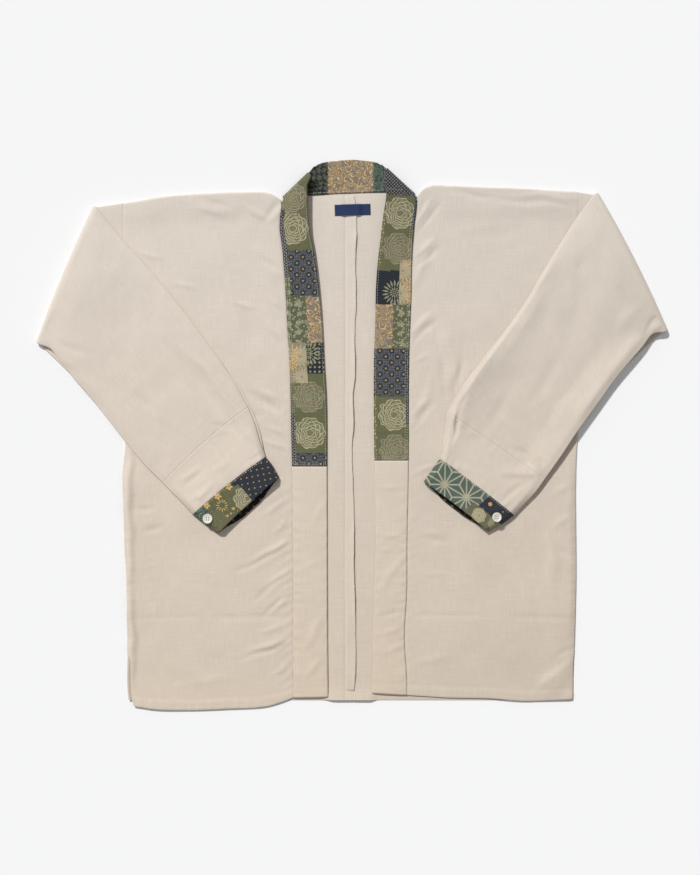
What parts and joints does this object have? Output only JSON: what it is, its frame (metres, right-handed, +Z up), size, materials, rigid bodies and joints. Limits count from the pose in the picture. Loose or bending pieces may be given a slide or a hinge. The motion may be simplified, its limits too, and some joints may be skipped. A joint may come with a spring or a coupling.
{
  "type": "noragi jacket",
  "caption": "Open-front noragi jacket laid flat on its back, with a patterned patchwork collar, patterned buttoned cuffs, and its sleeves folded over the fronts.",
  "frame": {"origin": "centre of the bounding box at its lowest face, on the surface that the jacket lies on", "axes": "+Z up from the surface, +Y from the hem to the neck, +X towards the wearer's left"},
  "size_m": [0.83, 0.725, 0.0201],
  "materials": {
    "body_cloth": "unbleached slub cotton, plain weave, matt",
    "band_cloth": "the same slub cotton, sewn double, matt",
    "collar_patchwork": "printed cotton patchwork in olive, navy and tan with flower and lattice motifs",
    "cuff_patchwork": "printed cotton patchwork in navy, teal and olive with dots, flowers and a hemp-leaf lattice",
    "shell_button": "pale pearl button, softly glossy",
    "woven_label": "plain navy woven label with no lettering"
  },
  "bodies": {
    "root": {"body_right": "body_cloth", "body_left": "body_cloth", "centre_back_seam_allowance": "body_cloth", "sleeve_right": "body_cloth", "sleeve_left": "body_cloth", "forearm_right": "body_cloth", "forearm_left": "body_cloth", "front_band_right": "band_cloth", "front_band_left": "band_cloth", "collar": "collar_patchwork", "cuff_right": "cuff_patchwork", "cuff_left": "cuff_patchwork", "cuff_button_right": "shell_button", "cuff_button_left": "shell_button", "neck_label": "woven_label"}
  },
  "joints": []
}
